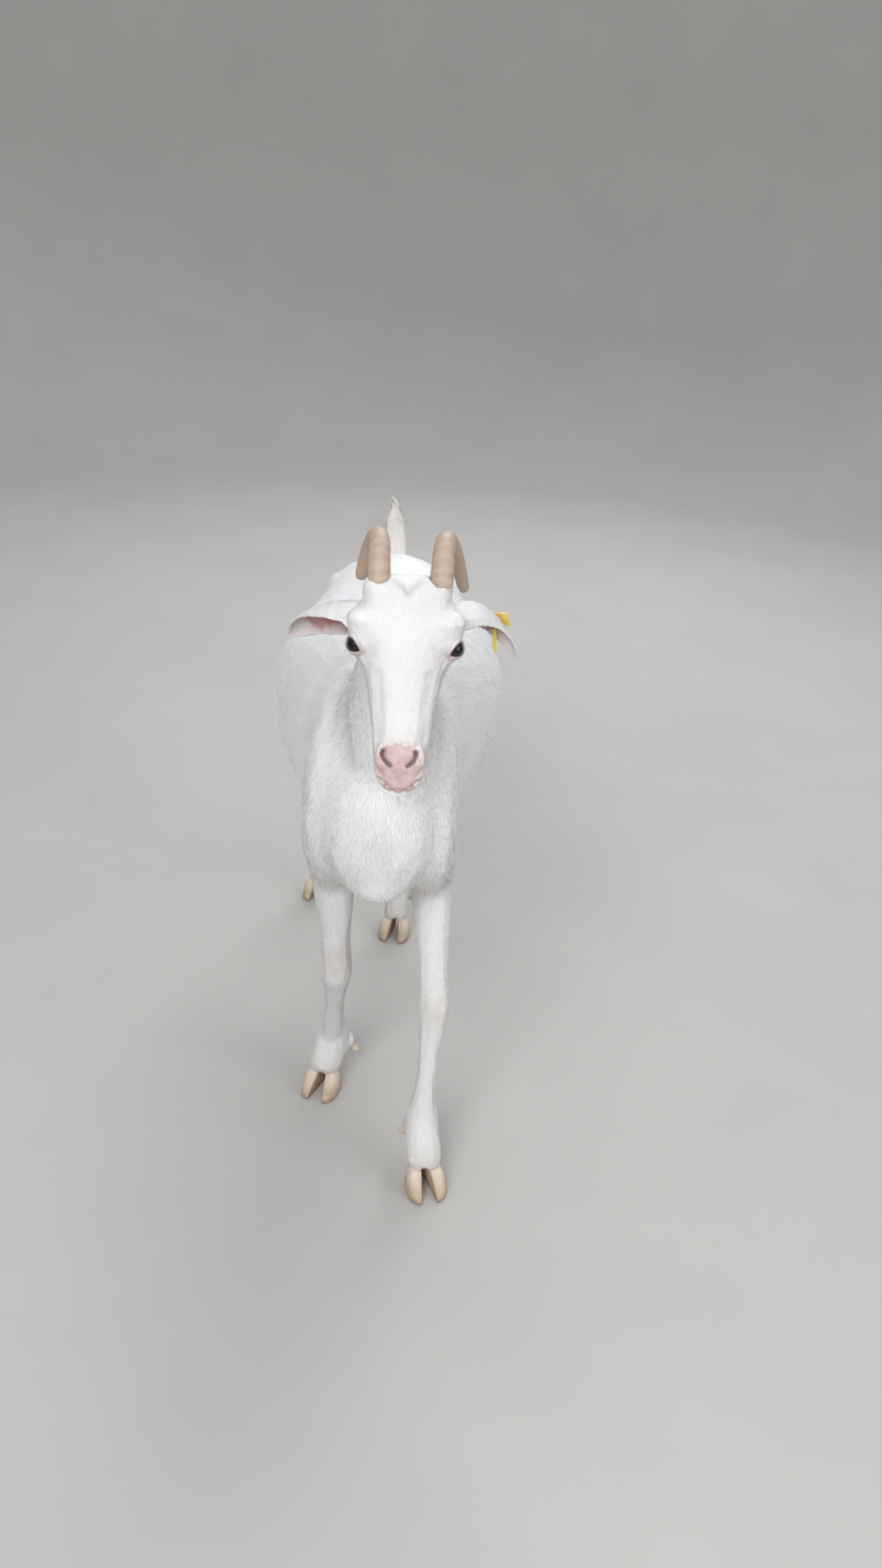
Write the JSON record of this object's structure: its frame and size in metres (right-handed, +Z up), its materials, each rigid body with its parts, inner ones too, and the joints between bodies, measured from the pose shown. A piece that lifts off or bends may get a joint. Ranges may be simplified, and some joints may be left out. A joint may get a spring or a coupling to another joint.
{
  "type": "goat",
  "caption": "Life-size model of a young white goat in mid-step, with a short coat, backswept horns, sideways ears, a raised tail, cloven hooves and a plain ear tag.",
  "frame": {"origin": "the middle of the whole goat's box, on the floor it stands on", "axes": "+Z up, the goat faces -Y, and +X is its left side"},
  "size_m": [0.3482, 0.9026, 0.9443],
  "materials": {
    "coat": "short white hair lying flat over pale pink skin",
    "eye": "wet, dark",
    "horn": "dry horn with growth rings",
    "hoof": "dry, tan horn",
    "tag": "moulded yellow plastic, bare"
  },
  "bodies": {
    "root": {"claw_fore_left_inner": "hoof", "claw_fore_left_outer": "hoof", "claw_fore_right_inner": "hoof", "claw_fore_right_outer": "hoof", "claw_hind_left_inner": "hoof", "claw_hind_left_outer": "hoof", "claw_hind_right_inner": "hoof", "claw_hind_right_outer": "hoof", "dewclaw_fore_left_inner": "hoof", "dewclaw_fore_left_outer": "hoof", "dewclaw_fore_right_inner": "hoof", "dewclaw_fore_right_outer": "hoof", "dewclaw_hind_left_inner": "hoof", "dewclaw_hind_left_outer": "hoof", "dewclaw_hind_right_inner": "hoof", "dewclaw_hind_right_outer": "hoof", "ear_left": "coat", "ear_right": "coat", "eye_left": "eye", "eye_right": "eye", "head": "coat", "horn_left": "horn", "horn_right": "horn", "leg_fore_left": "coat", "leg_fore_right": "coat", "leg_hind_left": "coat", "leg_hind_right": "coat", "neck": "coat", "tag_panel": "tag", "tag_pin": "tag", "tag_stud": "tag", "tail": "coat", "trunk": "coat"}
  },
  "joints": []
}
